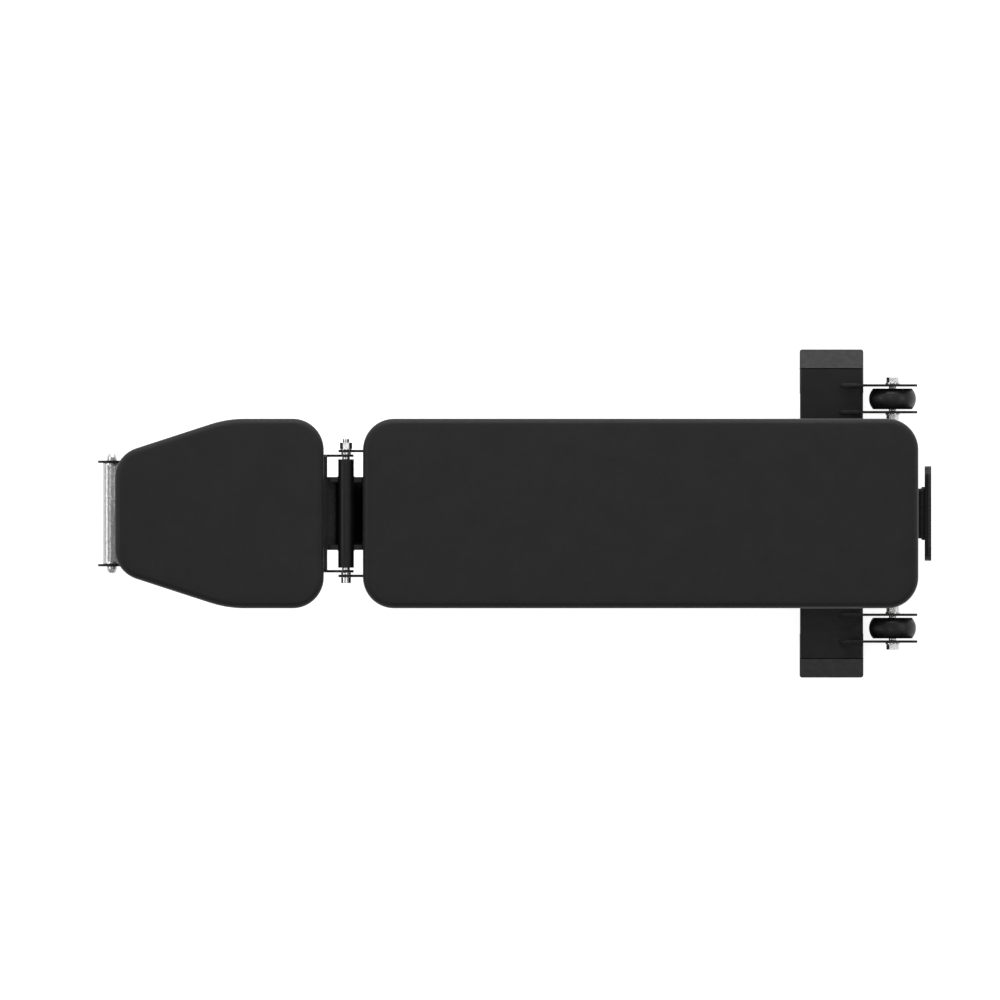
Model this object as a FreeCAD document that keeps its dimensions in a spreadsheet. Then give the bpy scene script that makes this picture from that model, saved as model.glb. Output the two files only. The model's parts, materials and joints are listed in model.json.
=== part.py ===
import FreeCAD, Part
import math
import os

import Sketcher
from FreeCAD import Placement, Rotation, Vector

# An adjustable weight bench: a tapered seat and a long back pad that tilt about one pivot,
# on a slanted post, a long spine tube and two feet, with a lifting handle and two wheels.
#
# Frame: millimetres, +Z up, the origin on the floor at the middle of the outline.
# +X runs from the handle at the seat end to the wheels; +Y is the right-hand side of a
# person who stands behind the wheels and looks along the bench.

os.makedirs("parts", exist_ok=True)
doc = FreeCAD.newDocument("weight_bench")
sheet = doc.addObject("Spreadsheet::Sheet", "dims")
nodes = []


# ---------------------------------------------------------------------------------------
# Sizes: a Dim is a number together with the spreadsheet formula that gives it, so that
# plain arithmetic in this file also writes the expressions that bind the model.

OPERATIONS = {
    "+": lambda a, b: a + b,
    "-": lambda a, b: a - b,
    "*": lambda a, b: a * b,
    "/": lambda a, b: a / b,
}


def as_dim(size):
    return size if isinstance(size, Dim) else Dim(float(size), repr(float(size)))


def combine(left, sign, right):
    left, right = as_dim(left), as_dim(right)
    value = OPERATIONS[sign](left.value, right.value)
    return Dim(value, f"({left.text} {sign} {right.text})")


class Dim:
    """A size, as its value and as the text of a spreadsheet formula."""

    def __init__(self, value, text):
        self.value, self.text = value, text

    def __add__(self, other):
        return combine(self, "+", other)

    def __radd__(self, other):
        return combine(other, "+", self)

    def __sub__(self, other):
        return combine(self, "-", other)

    def __rsub__(self, other):
        return combine(other, "-", self)

    def __mul__(self, other):
        return combine(self, "*", other)

    def __rmul__(self, other):
        return combine(other, "*", self)

    def __truediv__(self, other):
        return combine(self, "/", other)

    def __neg__(self):
        return combine(0, "-", self)


def cos(angle):
    angle = as_dim(angle)
    return Dim(math.cos(math.radians(angle.value)), f"cos({angle.text})")


def sin(angle):
    angle = as_dim(angle)
    return Dim(math.sin(math.radians(angle.value)), f"sin({angle.text})")


def root(square):
    return Dim(math.sqrt(square.value), f"sqrt({square.text})")


rows = {"next": 1}


def cell(name, text, value):
    """Puts one named cell in the sheet and returns it as a Dim."""
    row = rows["next"]
    rows["next"] += 1
    sheet.set(f"A{row}", name)
    sheet.set(f"B{row}", text)
    sheet.setAlias(f"B{row}", name)
    return Dim(value, f"dims.{name}")


def given(name, value):
    """A driving dimension."""
    return cell(name, str(value), float(value))


def derived(name, size):
    """A size that follows from others, kept in the sheet as a formula."""
    return cell(name, "=" + size.text.replace("dims.", ""), size.value)


# ---------------------------------------------------------------------------------------
# Builders for the shapes that the bench is made of.


def bind(thing, prop, size):
    thing.setExpression(prop, as_dim(size).text)


def place(thing, x=0, y=0, z=0, turn=None):
    if turn is not None:
        thing.Placement = Placement(Vector(), turn)
    for axis, size in zip("xyz", (x, y, z)):
        bind(thing, f"Placement.Base.{axis}", size)
    return thing


ALONG_Y = Rotation(Vector(1, 0, 0), -90)
HALF_TURN = Rotation(Vector(0, 0, 1), 180)


def block(x, y, z):
    """A box between a low and a high face in each direction."""
    box = doc.addObject("Part::Box", "Block")
    for prop, (low, high) in zip(("Length", "Width", "Height"), (x, y, z)):
        bind(box, prop, as_dim(high) - low)
    return place(box, x[0], y[0], z[0])


def rod(radius, y, x, z):
    """A round bar along Y, between the two ends in y."""
    bar = doc.addObject("Part::Cylinder", "Rod")
    bind(bar, "Radius", radius)
    bind(bar, "Height", as_dim(y[1]) - y[0])
    return place(bar, x, y[0], z, ALONG_Y)


def stud(radius, z, x, y):
    """A round bar along Z, between the two ends in z."""
    bar = doc.addObject("Part::Cylinder", "Stud")
    bind(bar, "Radius", radius)
    bind(bar, "Height", as_dim(z[1]) - z[0])
    return place(bar, x, y, z[0])


def hexagon(across, low, height, x, y, z, turn=None):
    """A hexagonal prism, given by its size across the flats."""
    prism = doc.addObject("Part::Prism", "Hexagon")
    prism.Polygon = 6
    bind(prism, "Circumradius", across / (2 * cos(30)))
    bind(prism, "Height", height)
    along_y = turn is not None
    return place(prism, x, y + low if along_y else y, z if along_y else z + low, turn)


def fuse(*pieces):
    joined = doc.addObject("Part::MultiFuse", "Fuse")
    joined.Shapes = list(pieces)
    return joined


def overlap(*pieces):
    shared = doc.addObject("Part::MultiCommon", "Common")
    shared.Shapes = list(pieces)
    return shared


def cut(base, *tools):
    result = doc.addObject("Part::Cut", "Cut")
    result.Base = base
    result.Tool = tools[0] if len(tools) == 1 else fuse(*tools)
    return result


def group(*pieces):
    """Several separate solids in one node."""
    result = doc.addObject("Part::Compound", "Group")
    result.Links = list(pieces)
    return result


def node(name, thing):
    """Names a finished piece; its label is the name of its file."""
    thing.Label = name
    nodes.append(thing)
    return thing


def new_sketch(body, role, offset=None):
    """A sketch on one of the body's origin planes, moved along the plane's normal."""
    sketch = body.newObject("Sketcher::SketchObject", "Outline")
    plane = next(f for f in body.Origin.OriginFeatures if f.Role == role)
    sketch.AttachmentSupport = [(plane, "")]
    sketch.MapMode = "FlatFace"
    if offset is not None:
        bind(sketch, "AttachmentOffset.Base.z", offset)
    return sketch


def fix_point(sketch, geometry, end, point):
    """Ties one point of a sketch to its two formulas."""
    for kind, size in zip(("DistanceX", "DistanceY"), point):
        size = as_dim(size)
        index = sketch.addConstraint(Sketcher.Constraint(kind, geometry, end, size.value))
        sketch.setExpression(f"Constraints[{index}]", size.text)


def draw_polygon(sketch, corners):
    points = [Vector(as_dim(a).value, as_dim(b).value, 0) for a, b in corners]
    count = len(points)
    first = sketch.GeometryCount
    for i, point in enumerate(points):
        sketch.addGeometry(Part.LineSegment(point, points[(i + 1) % count]), False)
    for i in range(count):
        after = first + (i + 1) % count
        sketch.addConstraint(Sketcher.Constraint("Coincident", first + i, 2, after, 1))
    for i, corner in enumerate(corners):
        fix_point(sketch, first + i, 1, corner)


def draw_circle(sketch, centre, radius):
    radius = as_dim(radius)
    middle = Vector(as_dim(centre[0]).value, as_dim(centre[1]).value, 0)
    index = sketch.addGeometry(Part.Circle(middle, Vector(0, 0, 1), radius.value), False)
    turn = sketch.addConstraint(Sketcher.Constraint("Radius", index, radius.value))
    sketch.setExpression(f"Constraints[{turn}]", radius.text)
    fix_point(sketch, index, 3, centre)


def edges_at(shape, axes, corner):
    """The names of the straight edges that run through a corner, across the outline."""
    spot = [as_dim(size).value for size in corner]
    found = []
    for i, edge in enumerate(shape.Edges, 1):
        ends = [[getattr(v.Point, axis) for axis in axes] for v in edge.Vertexes]
        if len(ends) == 2 and all(math.dist(end, spot) < 0.01 for end in ends):
            found.append(f"Edge{i}")
    return found


def add_fillet(body, edges, radius):
    base = body.Tip
    rounds = body.newObject("PartDesign::Fillet", "Rounds")
    rounds.Base = (base, edges)
    bind(rounds, "Radius", radius)
    body.Tip = rounds
    doc.recompute()


def extrude(role, axes, corners, length, offset=None, rounds=(), holes=()):
    """A body with a polygon outline; rounds are (corner number, radius) pairs.

    It lies evenly on both sides of its plane, or starts at the offset if one is given.
    """
    body = doc.addObject("PartDesign::Body", "Body")
    sketch = new_sketch(body, role, offset)
    draw_polygon(sketch, corners)
    for centre, radius in holes:
        draw_circle(sketch, centre, radius)
    pad = body.newObject("PartDesign::Pad", "Pad")
    pad.Profile = sketch
    pad.Midplane = offset is None
    bind(pad, "Length", length)
    body.Tip = pad
    doc.recompute()
    by_radius = {}
    for number, radius in rounds:
        by_radius.setdefault(as_dim(radius).text, (radius, []))[1].append(number)
    for radius, numbers in by_radius.values():
        edges = [e for n in numbers for e in edges_at(body.Tip.Shape, axes, corners[n])]
        add_fillet(body, edges, radius)
    return body


def side_plate(corners, thickness, middle, rounds=(), holes=()):
    """A plate that stands along the bench, drawn from the side in X and Z."""
    body = extrude("XZ_Plane", "xz", corners, thickness, None, rounds, holes)
    return place(body, 0, middle, 0)


def floor_plate(corners, bottom, height, rounds=()):
    """A plate that lies flat, drawn from above in X and Y."""
    return extrude("XY_Plane", "xy", corners, height, bottom, rounds)


def cross_plate(corners, near, length, rounds=()):
    """A piece drawn from the end in Y and Z, running along X from its near face."""
    return extrude("YZ_Plane", "yz", corners, length, near, rounds)


def round_rim(body, level, radius):
    """Rounds the edges of the flat face at one height."""
    height = as_dim(level).value
    edges = [
        f"Edge{i}"
        for i, edge in enumerate(body.Tip.Shape.Edges, 1)
        if all(abs(v.Z - height) < 0.001 for v in edge.Vertexes)
    ]
    add_fillet(body, edges, radius)


def turned(profile, x, y, z, upright=False):
    """A solid of revolution about Y, or Z if upright; the profile is (radius, along)."""
    body = doc.addObject("PartDesign::Body", "Body")
    sketch = new_sketch(body, "XZ_Plane" if upright else "XY_Plane")
    draw_polygon(sketch, profile)
    spin = body.newObject("PartDesign::Revolution", "Revolution")
    spin.Profile = sketch
    spin.ReferenceAxis = (sketch, ["V_Axis"])
    spin.Angle = 360
    body.Tip = spin
    return place(body, x, y, z)


def rectangle(low_a, high_a, low_b, high_b):
    return [(low_a, low_b), (high_a, low_b), (high_a, high_b), (low_a, high_b)]


def both_sides(make):
    """The same piece on the right (+1) and on the left (-1)."""
    return [make(side) for side in (1, -1)]


def ends(side, low, high):
    """Two Y values in rising order, mirrored for the left side."""
    return (low, high) if side > 0 else (-as_dim(high), -as_dim(low))


# ---------------------------------------------------------------------------------------
# Driving dimensions.

bench_length = given("bench_length", 1341.8)
pad_top = given("pad_top", 445)
pad_thickness = given("pad_thickness", 60)
pad_half = given("pad_half_width", 152.7)
cover_wall = given("cover_wall", 2)
cover_gap = given("cover_gap", 0.2)
board_thickness = given("board_thickness", 12)
pad_corner = given("pad_corner", 50)
pad_rim = given("pad_rim", 10)

seat_rear = given("seat_rear", -307.2)
seat_front = given("seat_front", -643.7)
seat_nose_half = given("seat_nose_half", 94)
seat_taper = given("seat_taper", 18)
seat_blend = given("seat_blend", 180)
back_front = given("back_front", -244.2)
back_rear = given("back_rear", 650.1)

pivot_x = given("pivot_x", -271.4)
pivot_z = given("pivot_z", 417)
pivot_tube_radius = given("pivot_tube_radius", 12.7)
pivot_tube_half = given("pivot_tube_half", 87.3)
pivot_bolt_radius = given("pivot_bolt_radius", 5)
seat_ear = given("seat_ear", 93)
back_ear = given("back_ear", 100.5)
sheet_wall = given("sheet_wall", 4)
ear_radius = given("ear_radius", 12.2)
channel_depth = given("channel_depth", 33)
channel_bend = given("channel_bend", 6)
running = given("running", 0.05)

tube_width = given("tube_width", 101.6)
tube_height = given("tube_height", 50.8)
tube_wall = given("tube_wall", 3)
tube_corner = given("tube_corner", 5)
sole = given("sole", 5)
rear_foot_x = given("rear_foot_x", 510.2)
rear_foot_half = given("rear_foot_half", 264.2)
foot_cap = given("foot_cap", 30.7)
front_foot_x = given("front_foot_x", -549.2)
front_foot_half = given("front_foot_half", 81.3)

spine_half = given("spine_half", 40.3)
spine_height = given("spine_height", 60)
spine_front = given("spine_front", -596)
spine_rear = given("spine_rear", 660.1)
post_angle = given("post_angle", 50.8)
post_top_x = given("post_top_x", -320.8)
post_top_z = given("post_top_z", 370)
cheek_wall = given("cheek_wall", 8)
cheek_saddle = given("cheek_saddle", 26)

handle_x = given("handle_x", -648.5)
handle_z = given("handle_z", 82)
handle_radius = given("handle_radius", 14.3)
handle_ear = given("handle_ear", 22.4)

axle_x = given("axle_x", 608.4)
axle_z = given("axle_z", 43)
wheel_middle = given("wheel_middle", 184.5)
wheel_radius = given("wheel_radius", 37.85)
wheel_width = given("wheel_width", 33.5)
bracket_near = given("bracket_near", 163.1)
bracket_far = given("bracket_far", 206.2)

strut_arm = given("strut_arm", 210)
strut_drop = given("strut_drop", 50)
strut_length = given("strut_length", 510)
strut_pin_drop = given("strut_pin_drop", 284)
strut_pin_radius = given("strut_pin_radius", 8)
strut_middle = given("strut_middle", 55)
ladder_angle = given("ladder_angle", 5)
ladder_wall = given("ladder_wall", 6)
ladder_tooth = given("ladder_tooth", 11)

prop_arm = given("prop_arm", 210)
prop_length = given("prop_length", 130)
prop_stand_off = given("prop_stand_off", 24)
prop_pin_radius = given("prop_pin_radius", 6)
prop_middle = given("prop_middle", 64)
prop_tooth = given("prop_tooth", 7)
seat_lift = given("seat_lift", 15)

BACK_STEPS = (0, 30, 45, 60, 75, 85)
WAY_PAST = 10

half_length = derived("half_length", bench_length / 2)
pad_bottom = derived("pad_bottom", pad_top - pad_thickness)
spine_bottom = derived("spine_bottom", sole + tube_height)
spine_top = derived("spine_top", spine_bottom + spine_height)
channel_inside = derived("channel_inside", pad_bottom - sheet_wall)
channel_low = derived("channel_low", pad_bottom - channel_depth)


# ---------------------------------------------------------------------------------------
# Feet, spine and post.


def foot_tube(name, x, half):
    outer = rectangle(x - tube_width / 2, x + tube_width / 2, sole, spine_bottom)
    inner = rectangle(
        x - tube_width / 2 + tube_wall,
        x + tube_width / 2 - tube_wall,
        sole + tube_wall,
        spine_bottom - tube_wall,
    )
    corners = [(n, tube_corner) for n in range(4)]
    shell = side_plate(outer, half * 2, 0, corners)
    hollow = side_plate(inner, half * 2 + WAY_PAST, 0, [(n, tube_wall) for n in range(4)])
    return node(name, cut(shell, hollow))


tube_end = derived("tube_end", rear_foot_half - foot_cap)
foot_tube("rear_foot_tube", rear_foot_x, tube_end)
foot_tube("front_foot_tube", front_foot_x, front_foot_half)

cap_nose = given("cap_nose", 26)
sole_length = given("sole_length", 40)
cap_plug = given("cap_plug", 25)
cap_chamfer = given("cap_chamfer", 2)
plug_gap = given("plug_gap", 1)
cap_proud = given("cap_proud", 0.5)
cap_corner = given("cap_corner", 4)


def foot_cap_piece(side):
    """A rubber end cap: a sloped nose, a plug in the tube and a sole under it."""
    profile = [
        (tube_end - sole_length, 0),
        (rear_foot_half - cap_chamfer, 0),
        (rear_foot_half, cap_chamfer),
        (rear_foot_half, cap_nose),
        (tube_end, spine_bottom),
        (tube_end, sole),
        (tube_end - sole_length, sole),
    ]
    half = tube_width / 2 + cap_proud
    slab = cross_plate(profile, -half, half * 2)
    plan = rectangle(-half, half, tube_end - sole_length, rear_foot_half)
    corners = [(2, cap_corner), (3, cap_corner)]
    nose = overlap(slab, floor_plate(plan, 0, spine_bottom, corners))
    fit = tube_wall + plug_gap
    plug = block(
        (fit - tube_width / 2, tube_width / 2 - fit),
        (tube_end - cap_plug, tube_end + 1),
        (sole + fit, spine_bottom - fit),
    )
    return place(fuse(nose, plug), rear_foot_x, 0, 0, HALF_TURN if side < 0 else None)


node("right_foot_cap", foot_cap_piece(1))
node("left_foot_cap", foot_cap_piece(-1))

front_sole_margin = given("front_sole_margin", 3)


def front_sole(side):
    near = front_foot_half - sole_length
    return block(
        (front_foot_x - tube_width / 2 + front_sole_margin,
         front_foot_x + tube_width / 2 - front_sole_margin),
        ends(side, near, front_foot_half - front_sole_margin),
        (0, sole),
    )


node("front_foot_soles", group(*both_sides(front_sole)))

spine_profile = rectangle(-spine_half, spine_half, spine_bottom, spine_top)
spine_hollow = rectangle(
    tube_wall - spine_half,
    spine_half - tube_wall,
    spine_bottom + tube_wall,
    spine_top - tube_wall,
)
spine_length = derived("spine_length", spine_rear - spine_front)
spine_shell = cross_plate(
    spine_profile, spine_front, spine_length, [(n, tube_corner) for n in range(4)]
)
spine_core = cross_plate(
    spine_hollow,
    spine_front - WAY_PAST,
    spine_length + 2 * WAY_PAST,
    [(n, tube_wall) for n in range(4)],
)
node("spine_tube", cut(spine_shell, spine_core))

plug_flange = given("plug_flange", 3)
spine_plug_body = fuse(
    block(
        (spine_front - plug_flange, spine_front),
        (1 - spine_half, spine_half - 1),
        (spine_bottom + 1, spine_top - 1),
    ),
    block(
        (spine_front - 1, spine_front + cap_plug),
        (tube_wall + plug_gap - spine_half, spine_half - tube_wall - plug_gap),
        (spine_bottom + tube_wall + plug_gap, spine_top - tube_wall - plug_gap),
    ),
)
node("spine_front_plug", spine_plug_body)

# The post's corners, from the line through its middle and its slant.
post_half = derived("post_half", tube_height / 2 / sin(post_angle))
post_lean = derived("post_lean", cos(post_angle) / sin(post_angle))
post_plate = given("post_plate", 6)
post_foot_z = derived("post_foot_z", spine_top + post_plate)


def post_x(level, across=0):
    """X of the post's middle line at a height, moved sideways across its section."""
    return post_top_x - (post_top_z - level) * post_lean + across


def post_outline(low, high, half):
    return [
        (post_x(low, -half), low),
        (post_x(low, half), low),
        (post_x(high, half), high),
        (post_x(high, -half), high),
    ]


wall_across = tube_wall / sin(post_angle)
post_shell = side_plate(post_outline(post_foot_z, post_top_z, post_half), tube_width, 0)
post_core = side_plate(
    post_outline(post_foot_z - WAY_PAST, post_top_z + WAY_PAST, post_half - wall_across),
    tube_width - 2 * tube_wall,
    0,
)
node("front_post", cut(post_shell, post_core))

post_base = post_x(post_foot_z)
base_margin = given("base_margin", 7)
node(
    "post_base_plate",
    block(
        (post_base - post_half - base_margin, post_base + post_half + base_margin),
        (-tube_width / 2 - base_margin, tube_width / 2 + base_margin),
        (spine_top, post_foot_z),
    ),
)
node(
    "post_top_cap",
    block(
        (post_x(post_top_z, -post_half) + 1, post_x(post_top_z, post_half)),
        (-tube_width / 2, tube_width / 2),
        (post_top_z, post_top_z + sheet_wall),
    ),
)

cheek_shoulder = given("cheek_shoulder", 376)
cheek_foot = given("cheek_foot", 272)


cheek_inset = given("cheek_inset", 2)
cheek_reach = given("cheek_reach", 48)
cheek_lip = given("cheek_lip", 22)


def cheek(side):
    """A side plate on the post, with a half-round saddle for the pivot tube."""
    outline = [
        (pivot_x - cheek_saddle, pivot_z),
        (pivot_x - cheek_saddle, cheek_shoulder),
        (post_x(cheek_shoulder, cheek_inset - post_half), cheek_shoulder),
        (post_x(cheek_foot, cheek_inset - post_half), cheek_foot),
        (post_x(cheek_foot, post_half - cheek_inset), cheek_foot),
        (pivot_x + cheek_reach, cheek_shoulder - cheek_lip),
        (pivot_x + cheek_reach, cheek_shoulder),
        (pivot_x + cheek_saddle, cheek_shoulder),
        (pivot_x + cheek_saddle, pivot_z),
    ]
    middle = side * (tube_width + cheek_wall) / 2
    rounds = [(3, channel_bend), (4, channel_bend), (5, channel_bend), (6, channel_bend)]
    plate = side_plate(outline, cheek_wall, middle, rounds)
    span = (middle - cheek_wall / 2, middle + cheek_wall / 2)
    return cut(plate, rod(pivot_tube_radius, span, pivot_x, pivot_z))


node("right_post_cheek", cheek(1))
node("left_post_cheek", cheek(-1))

# A bent web closes the space between the cheeks behind the post: it runs level from the
# post to under the pivot tube, then rises to the cheeks' rear corners.
web_low = given("web_low", 318)
web_high = given("web_high", 348)
web_bend_x = derived("web_bend_x", pivot_x + cheek_saddle / 2)
web_start = post_x(web_low, post_half)
web_end = pivot_x + cheek_reach - cheek_inset
web_outline = [
    (web_start, web_low),
    (web_bend_x, web_low),
    (web_end, web_high),
    (web_end, web_high + sheet_wall),
    (web_bend_x, web_low + sheet_wall),
    (post_x(web_low + sheet_wall, post_half), web_low + sheet_wall),
]
node("post_web", side_plate(web_outline, tube_width, 0))

# ---------------------------------------------------------------------------------------
# The main pivot: a tube through the cheeks, two bushes, and a bolt with its spacers.

bush_length = given("bush_length", 24)
bush_radius = given("bush_radius", 9)
spacer_radius = given("spacer_radius", 6.25)
washer_radius = given("washer_radius", 8)
face_gap = given("face_gap", 0.1)
bolt_head = given("bolt_head", 9.5)
nut_across = given("nut_across", 17)
nut_height = given("nut_height", 10)
thread_end = given("thread_end", 120)
back_ear_out = derived("back_ear_out", back_ear + sheet_wall / 2)
nut_washer = given("nut_washer", 1.5)
nut_start = derived("nut_start", back_ear_out + nut_washer)
bolt_socket = given("bolt_socket", 8)
bolt_socket_depth = given("bolt_socket_depth", 5)

tube_blank = rod(pivot_tube_radius, (-pivot_tube_half, pivot_tube_half), pivot_x, pivot_z)
tube_bore = rod(bush_radius, (-pivot_tube_half, pivot_tube_half), pivot_x, pivot_z)
node("pivot_tube", cut(tube_blank, tube_bore))


def hollow_rod(outer, inner, span, x, z):
    return cut(rod(outer, span, x, z), rod(inner, span, x, z))


def bush(side):
    span = ends(side, pivot_tube_half - bush_length, pivot_tube_half)
    return hollow_rod(bush_radius, pivot_bolt_radius, span, pivot_x, pivot_z)


node("pivot_bushes", group(*both_sides(bush)))


def inner_spacer(side):
    span = ends(side, pivot_tube_half, seat_ear - sheet_wall / 2 - face_gap)
    return hollow_rod(spacer_radius, pivot_bolt_radius, span, pivot_x, pivot_z)


def outer_spacer(side):
    low = seat_ear + sheet_wall / 2 + face_gap
    span = ends(side, low, back_ear - sheet_wall / 2 - face_gap)
    return hollow_rod(washer_radius, pivot_bolt_radius, span, pivot_x, pivot_z)


node("pivot_spacers", group(*both_sides(inner_spacer), *both_sides(outer_spacer)))
head_face = -back_ear_out - face_gap - bolt_head
pivot_bolt_blank = fuse(
    rod(pivot_bolt_radius, (-back_ear_out - 1, thread_end), pivot_x, pivot_z),
    rod(washer_radius, (head_face, -back_ear_out - face_gap), pivot_x, pivot_z),
)
node(
    "pivot_bolt",
    cut(
        pivot_bolt_blank,
        hexagon(
            bolt_socket, head_face - 1, bolt_socket_depth + 1, pivot_x, 0, pivot_z, ALONG_Y
        ),
    ),
)
node(
    "pivot_nut",
    cut(
        fuse(
            hexagon(nut_across, nut_start, nut_height, pivot_x, 0, pivot_z, ALONG_Y),
            rod(washer_radius + 1, (back_ear_out + face_gap, nut_start), pivot_x, pivot_z),
        ),
        rod(pivot_bolt_radius, (back_ear_out, thread_end), pivot_x, pivot_z),
    ),
)

# ---------------------------------------------------------------------------------------
# The lifting handle at the seat end.

plate_foot_low = given("plate_foot_low", 10)
handle_wall = given("handle_wall", 2.5)
handle_bolt = given("handle_bolt", 4)
handle_dome = given("handle_dome", 11.3)


plate_margin = given("plate_margin", 2)
plate_heel = given("plate_heel", 4)
plate_shoulder = given("plate_shoulder", 16)
nose_under = given("nose_under", 45)
nose_over = given("nose_over", 50)


def handle_plate(side):
    """Closes the end of the front foot and reaches forward to the handle."""
    foot_rear = front_foot_x + tube_width / 2 - plate_margin
    foot_front = front_foot_x - tube_width / 2
    outline = [
        (foot_rear, plate_foot_low),
        (foot_front + plate_heel, plate_foot_low),
        (handle_x - handle_ear * cos(nose_under), handle_z - handle_ear * sin(nose_under)),
        (handle_x, handle_z),
        (handle_x + handle_ear * cos(nose_over), handle_z + handle_ear * sin(nose_over)),
        (foot_front + plate_shoulder, spine_bottom - plate_margin),
        (foot_rear, spine_bottom - plate_margin),
    ]
    middle = side * (front_foot_half + sheet_wall / 2)
    rounds = [(0, channel_bend), (1, tube_height / 2), (5, tube_height / 2), (6, channel_bend)]
    plate = side_plate(outline, sheet_wall, middle, rounds)
    span = (middle - sheet_wall / 2, middle + sheet_wall / 2)
    nose = rod(handle_ear, span, handle_x, handle_z)
    return cut(fuse(plate, nose), rod(handle_bolt, span, handle_x, handle_z))


node("right_handle_plate", handle_plate(1))
node("left_handle_plate", handle_plate(-1))

handle_end = front_foot_half
node(
    "handle_bar",
    hollow_rod(
        handle_radius, handle_radius - handle_wall, (-handle_end, handle_end), handle_x, handle_z
    ),
)


def handle_insert(side):
    """A threaded plug pressed into each end of the handle."""
    span = ends(side, handle_end - bush_length, handle_end)
    return hollow_rod(handle_radius - handle_wall, handle_bolt, span, handle_x, handle_z)


node("handle_inserts", group(*both_sides(handle_insert)))


screw_rim = given("screw_rim", 4)
screw_socket = given("screw_socket", 5)
screw_socket_depth = given("screw_socket_depth", 4)
DOME_ANGLES = (0, 20, 40, 60)


def handle_screw(side):
    """A dome-headed screw, turned about Y, with a hexagon socket."""
    crown = (handle_dome - screw_rim) / sin(DOME_ANGLES[-1])
    profile = [
        (0, -bush_length),
        (handle_bolt, -bush_length),
        (handle_bolt, sheet_wall),
        (washer_radius, sheet_wall),
    ]
    profile += [
        (washer_radius * cos(angle), sheet_wall + screw_rim + crown * sin(angle))
        for angle in DOME_ANGLES
    ]
    profile.append((0, sheet_wall + handle_dome))
    turn = None if side > 0 else Rotation(Vector(1, 0, 0), 180)
    screw = place(turned(profile, 0, 0, 0), handle_x, side * handle_end, handle_z, turn)
    top = handle_end + sheet_wall + handle_dome
    socket_low = top - screw_socket_depth if side > 0 else -top - 1
    socket = hexagon(
        screw_socket, socket_low, screw_socket_depth + 1, handle_x, 0, handle_z, ALONG_Y
    )
    return cut(screw, socket)


node("handle_screws", group(*both_sides(handle_screw)))

# ---------------------------------------------------------------------------------------
# The rear end: the plate that the bench stands up on, with its rubber face.

plate_steel = given("plate_steel", 6)
rear_plate_half = given("rear_plate_half", 76.2)
rear_plate_low = given("rear_plate_low", 34)
rear_plate_high = given("rear_plate_high", 138)
rear_plate_corner = given("rear_plate_corner", 20)

plate_outline = rectangle(-rear_plate_half, rear_plate_half, rear_plate_low, rear_plate_high)
plate_rounds = [(n, rear_plate_corner) for n in range(4)]
node("rear_plate", cross_plate(plate_outline, spine_rear, plate_steel, plate_rounds))
rubber_start = spine_rear + plate_steel
node(
    "rear_plate_rubber",
    cross_plate(plate_outline, rubber_start, half_length - rubber_start, plate_rounds),
)

# ---------------------------------------------------------------------------------------
# Wheels, their brackets on the rear foot, and the axles.

bracket_front = given("bracket_front", 523.9)
bracket_rear = given("bracket_rear", 648.3)
bracket_high = given("bracket_high", 84)
bracket_low = given("bracket_low", 20)
axle_bolt_radius = given("axle_bolt_radius", 5)
axle_sleeve_radius = given("axle_sleeve_radius", 6)
axle_flange_radius = given("axle_flange_radius", 11.5)
axle_flange = given("axle_flange", 2.5)
axle_hexagon = given("axle_hexagon", 8.5)
axle_tail = given("axle_tail", 9)


bracket_toe = given("bracket_toe", 12)
bracket_slope = given("bracket_slope", 18)
bracket_corner = given("bracket_corner", 8)
bracket_skirt = given("bracket_skirt", 14)
bracket_keel = given("bracket_keel", 20)
foot_clear = given("foot_clear", 0.5)


def bracket_plate(side, middle):
    foot_edge = rear_foot_x + tube_width / 2 + foot_clear
    outline = [
        (bracket_front, spine_bottom),
        (bracket_front, spine_bottom + bracket_toe),
        (bracket_front + bracket_slope, bracket_high),
        (bracket_rear - bracket_corner, bracket_high),
        (bracket_rear, bracket_high - bracket_corner),
        (bracket_rear, bracket_low + bracket_skirt),
        (bracket_rear - bracket_skirt, bracket_low),
        (axle_x - bracket_keel, bracket_low),
        (foot_edge, spine_bottom - bracket_toe),
        (foot_edge, spine_bottom),
    ]
    rounds = [(1, channel_bend), (2, channel_bend)]
    hole = ((axle_x, axle_z), axle_bolt_radius)
    return side_plate(outline, sheet_wall, side * middle, rounds, [hole])


for name, side in (("right", 1), ("left", -1)):
    node(
        f"{name}_wheel_bracket",
        group(bracket_plate(side, bracket_near), bracket_plate(side, bracket_far)),
    )

inner_face = derived("bracket_inner_face", bracket_near + sheet_wall / 2)
outer_face = derived("bracket_outer_face", bracket_far - sheet_wall / 2)
axle_in = derived("axle_in", bracket_near - sheet_wall / 2)
axle_out = derived("axle_out", bracket_far + sheet_wall / 2)


def axle_end(side, face, outward):
    """A flanged hexagon against a bracket plate: a bolt's head or a nut."""
    way = side * outward
    start = side * face
    flange = ends(way, outward * face, outward * face + axle_flange)
    hex_low = start if way > 0 else start - axle_flange - axle_hexagon
    return fuse(
        rod(axle_flange_radius, flange, axle_x, axle_z),
        hexagon(
            nut_across, hex_low, axle_flange + axle_hexagon, axle_x, 0, axle_z, ALONG_Y
        ),
    )


def axle_bolt(side):
    shank = rod(axle_bolt_radius, ends(side, axle_in - axle_tail, axle_out + 1), axle_x, axle_z)
    return fuse(shank, axle_end(side, axle_out, 1))


def axle_nut(side):
    through = rod(
        axle_bolt_radius, ends(side, axle_in - axle_tail * 2, axle_in + 1), axle_x, axle_z
    )
    return cut(axle_end(side, axle_in, -1), through)


def axle_sleeve(side):
    span = ends(side, inner_face, outer_face)
    return hollow_rod(axle_sleeve_radius, axle_bolt_radius, span, axle_x, axle_z)


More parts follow.
